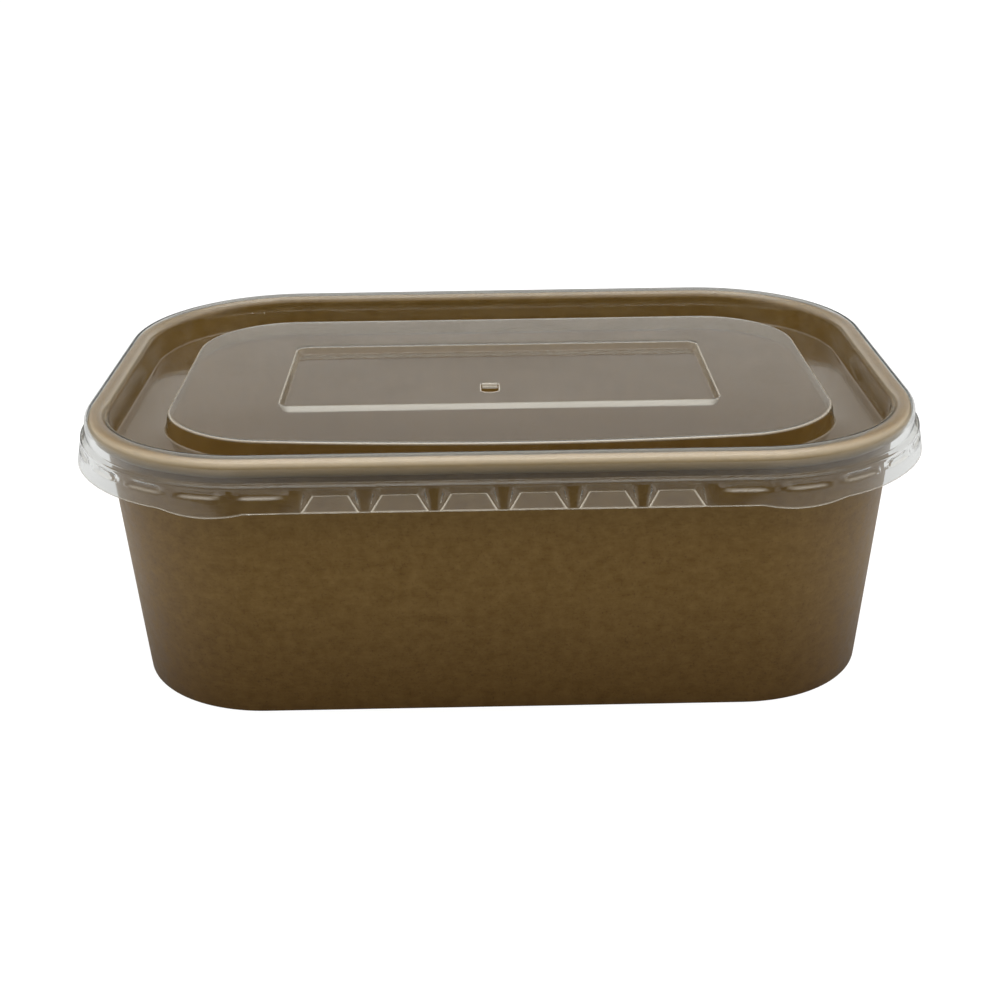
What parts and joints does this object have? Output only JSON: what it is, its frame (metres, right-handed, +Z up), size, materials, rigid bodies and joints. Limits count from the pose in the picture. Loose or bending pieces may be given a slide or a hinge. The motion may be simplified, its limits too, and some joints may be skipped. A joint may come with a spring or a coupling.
{
  "type": "lidded paper food tub",
  "caption": "Rectangular brown paperboard food tub with rounded corners and rolled rim, closed by a clear thermoformed plastic press-on lid with a sunken panel and vent.",
  "frame": {"origin": "middle of the footprint, on the surface that the bottom edge stands on", "axes": "+X along the long side, +Y to the back (the side with the glued seam), +Z up"},
  "size_m": [0.1774, 0.1246, 0.0593],
  "materials": {
    "board_wall": "unbleached brown paperboard, fine mottled fibre, thin satin lining",
    "board_base": "unbleached brown paperboard, fine mottled fibre, thin satin lining",
    "clear_lid": "clear thermoformed plastic sheet, glossy, 0.4 mm"
  },
  "bodies": {
    "tub": {"sidewall": "board_wall", "base_panel": "board_base"},
    "lid": {"lid": "clear_lid"}
  },
  "joints": [
    {"name": "lid_lift", "type": "slide", "parent": "tub", "child": "lid", "axis": [0, 0, 1], "range_m": [0, 0.06]}
  ]
}
